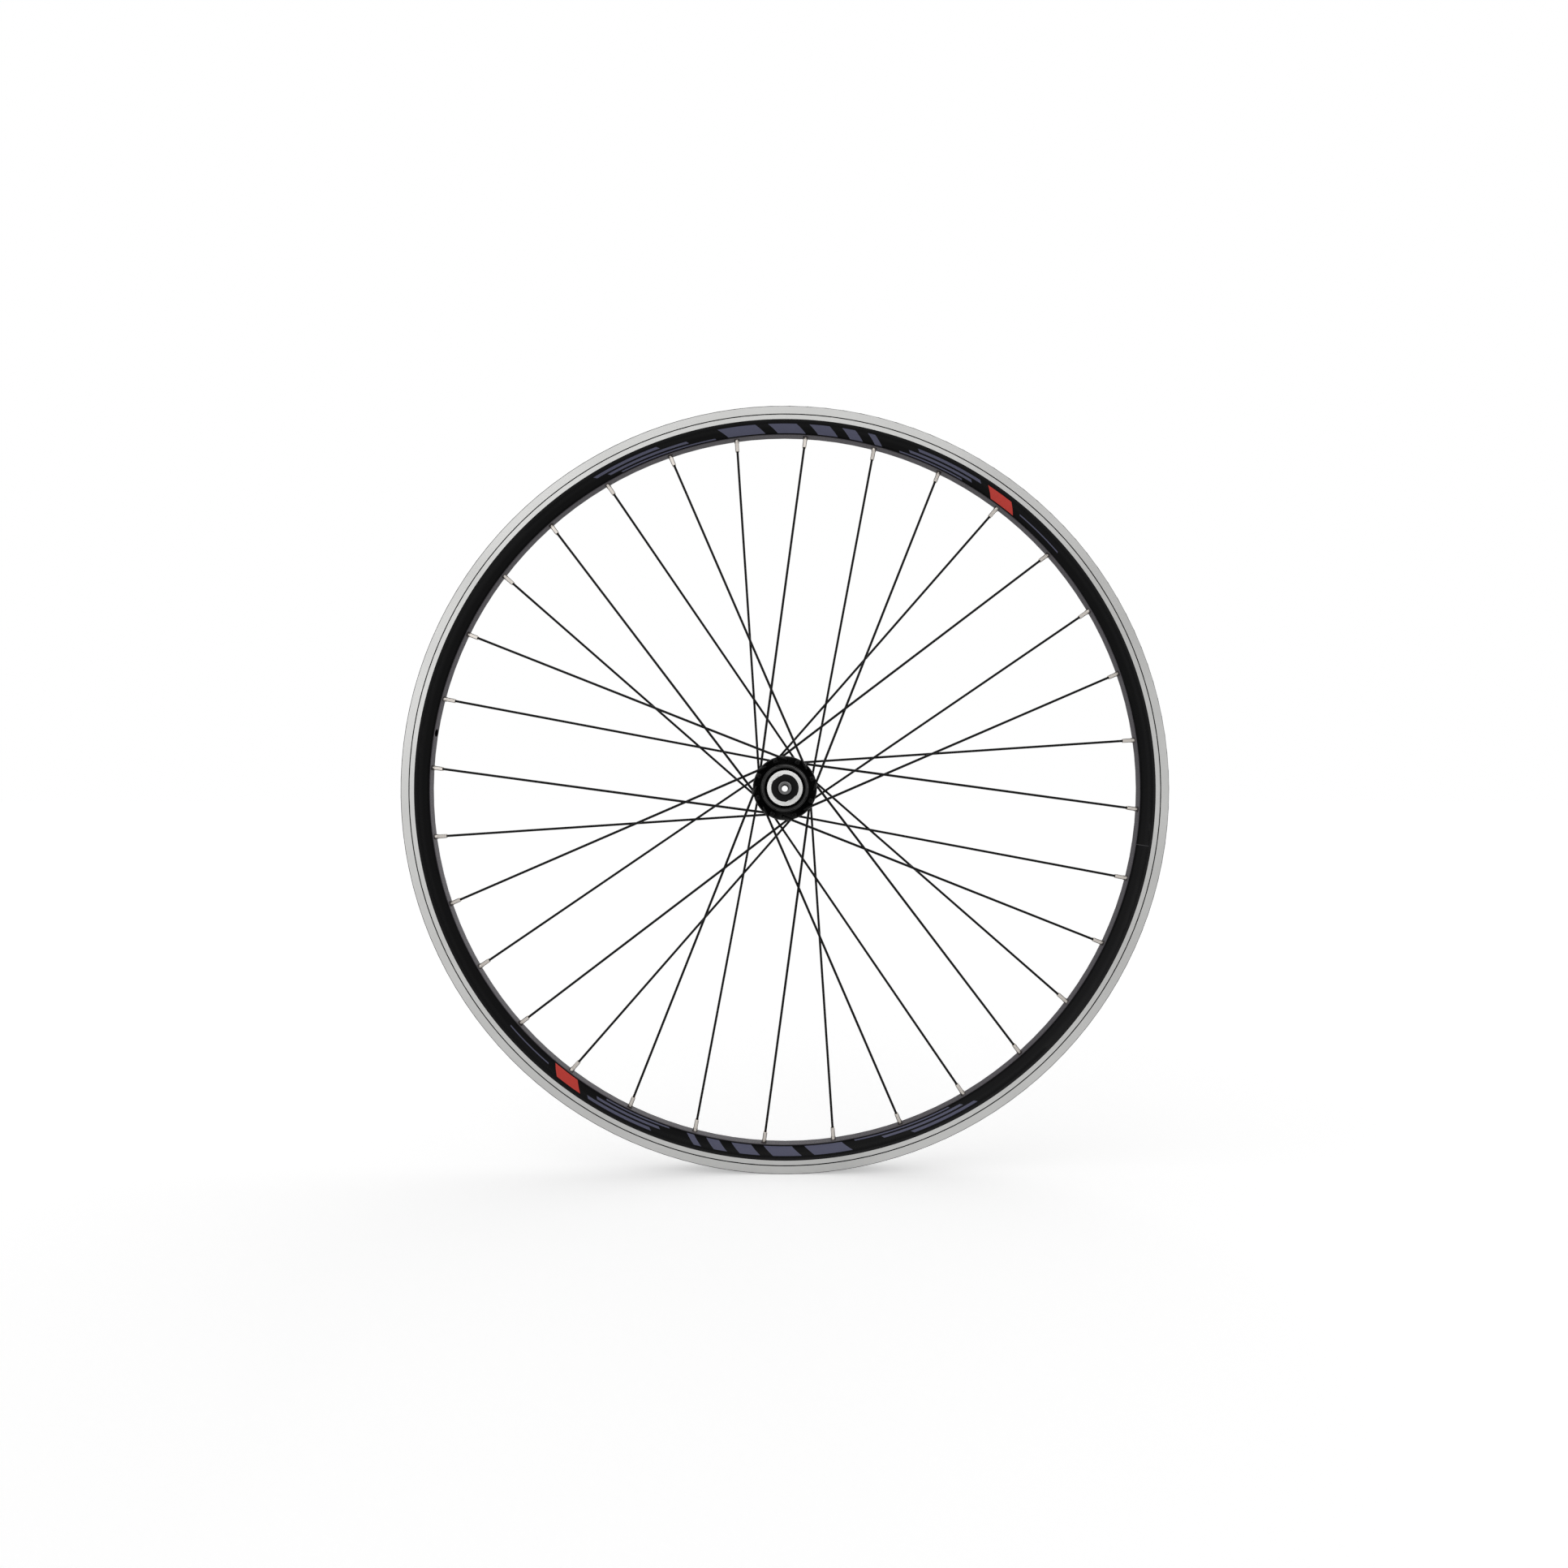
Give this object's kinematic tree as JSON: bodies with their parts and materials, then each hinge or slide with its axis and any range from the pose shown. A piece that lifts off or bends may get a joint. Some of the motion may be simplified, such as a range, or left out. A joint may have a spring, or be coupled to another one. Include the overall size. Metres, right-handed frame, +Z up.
{
  "type": "bicycle wheel",
  "caption": "Rear bicycle wheel for rim brakes with a black double-wall rim, bare brake tracks, crossed black spokes and a quick-release freehub hub, no tyre fitted",
  "frame": {"origin": "centre of the wheel, on the axle axis midway between the locknut faces", "axes": "+Y along the axle to the freehub side, +Z up, +X to the right in the picture; the picture looks along +Y at the other side"},
  "size_m": [0.6339, 0.146, 0.634],
  "materials": {
    "rim_aluminium": "satin black with two bare turned brake tracks",
    "hub_aluminium": "gloss black anodised",
    "black_steel": "black stainless wire",
    "nickel_brass": "nickel-plated",
    "plain_steel": "turned steel",
    "nut_black": "blackened, knurled ring face",
    "spacer_aluminium": "black anodised",
    "cap_chrome": "bright pressed steel",
    "bearing_chrome": "polished balls",
    "driver_steel": "satin steel spline"
  },
  "bodies": {
    "axle_set": {"axle": "plain_steel", "left_cone": "plain_steel", "right_cone": "plain_steel", "left_spacer": "spacer_aluminium", "right_spacer": "spacer_aluminium", "left_locknut": "nut_black", "right_locknut": "nut_black"},
    "wheel": {"rim": "rim_aluminium", "spoke_nipples": "nickel_brass", "left_outer_spoke_1": "black_steel", "left_outer_spoke_2": "black_steel", "left_outer_spoke_3": "black_steel", "left_outer_spoke_4": "black_steel", "left_outer_spoke_5": "black_steel", "left_outer_spoke_6": "black_steel", "left_outer_spoke_7": "black_steel", "left_outer_spoke_8": "black_steel", "left_inner_spoke_1": "black_steel", "left_inner_spoke_2": "black_steel", "left_inner_spoke_3": "black_steel", "left_inner_spoke_4": "black_steel", "left_inner_spoke_5": "black_steel", "left_inner_spoke_6": "black_steel", "left_inner_spoke_7": "black_steel", "left_inner_spoke_8": "black_steel", "right_outer_spoke_1": "black_steel", "right_outer_spoke_2": "black_steel", "right_outer_spoke_3": "black_steel", "right_outer_spoke_4": "black_steel", "right_outer_spoke_5": "black_steel", "right_outer_spoke_6": "black_steel", "right_outer_spoke_7": "black_steel", "right_outer_spoke_8": "black_steel", "right_inner_spoke_1": "black_steel", "right_inner_spoke_2": "black_steel", "right_inner_spoke_3": "black_steel", "right_inner_spoke_4": "black_steel", "right_inner_spoke_5": "black_steel", "right_inner_spoke_6": "black_steel", "right_inner_spoke_7": "black_steel", "right_inner_spoke_8": "black_steel", "hub_shell": "hub_aluminium", "left_bearing_cup": "plain_steel", "left_dust_cap": "cap_chrome", "right_dust_cap": "cap_chrome", "freehub_core": "plain_steel", "freehub_bolt": "plain_steel", "pawl_spring": "plain_steel"},
    "driver": {"freehub_driver": "driver_steel"},
    "left_balls": {"left_bearing_balls": "bearing_chrome"},
    "right_balls": {"right_bearing_balls": "bearing_chrome"},
    "inner_row": {"inner_driver_balls": "bearing_chrome"},
    "outer_row": {"outer_driver_balls": "bearing_chrome"},
    "first_pawl": {"pawl_1": "plain_steel"},
    "second_pawl": {"pawl_2": "plain_steel"}
  },
  "joints": [
    {"name": "wheel_spin", "type": "hinge", "parent": "axle_set", "child": "wheel", "pos_m": [0, 0, 0], "axis": [0, 1, 0], "continuous": true},
    {"name": "left_balls_orbit", "type": "hinge", "parent": "axle_set", "child": "left_balls", "pos_m": [0, 0, 0], "axis": [0, 1, 0], "continuous": true},
    {"name": "right_balls_orbit", "type": "hinge", "parent": "axle_set", "child": "right_balls", "pos_m": [0, 0, 0], "axis": [0, 1, 0], "continuous": true},
    {"name": "freehub_spin", "type": "hinge", "parent": "wheel", "child": "driver", "pos_m": [0, 0, 0], "axis": [0, 1, 0], "continuous": true},
    {"name": "inner_row_orbit", "type": "hinge", "parent": "wheel", "child": "inner_row", "pos_m": [0, 0, 0], "axis": [0, 1, 0], "continuous": true},
    {"name": "outer_row_orbit", "type": "hinge", "parent": "wheel", "child": "outer_row", "pos_m": [0, 0, 0], "axis": [0, 1, 0], "continuous": true},
    {"name": "first_pawl_swing", "type": "hinge", "parent": "wheel", "child": "first_pawl", "pos_m": [0.00889, 0.0365, 0.00746], "axis": [0, 1, 0], "range_deg": [0, 12]},
    {"name": "second_pawl_swing", "type": "hinge", "parent": "wheel", "child": "second_pawl", "pos_m": [-0.00889, 0.0365, -0.00746], "axis": [0, 1, 0], "range_deg": [0, 12]}
  ],
  "couplings": [
    {"joint": "left_balls_orbit", "follows": "wheel_spin", "ratio": 0.6157},
    {"joint": "right_balls_orbit", "follows": "wheel_spin", "ratio": 0.6157},
    {"joint": "inner_row_orbit", "follows": "freehub_spin", "ratio": 0.5611},
    {"joint": "outer_row_orbit", "follows": "freehub_spin", "ratio": 0.5611}
  ]
}
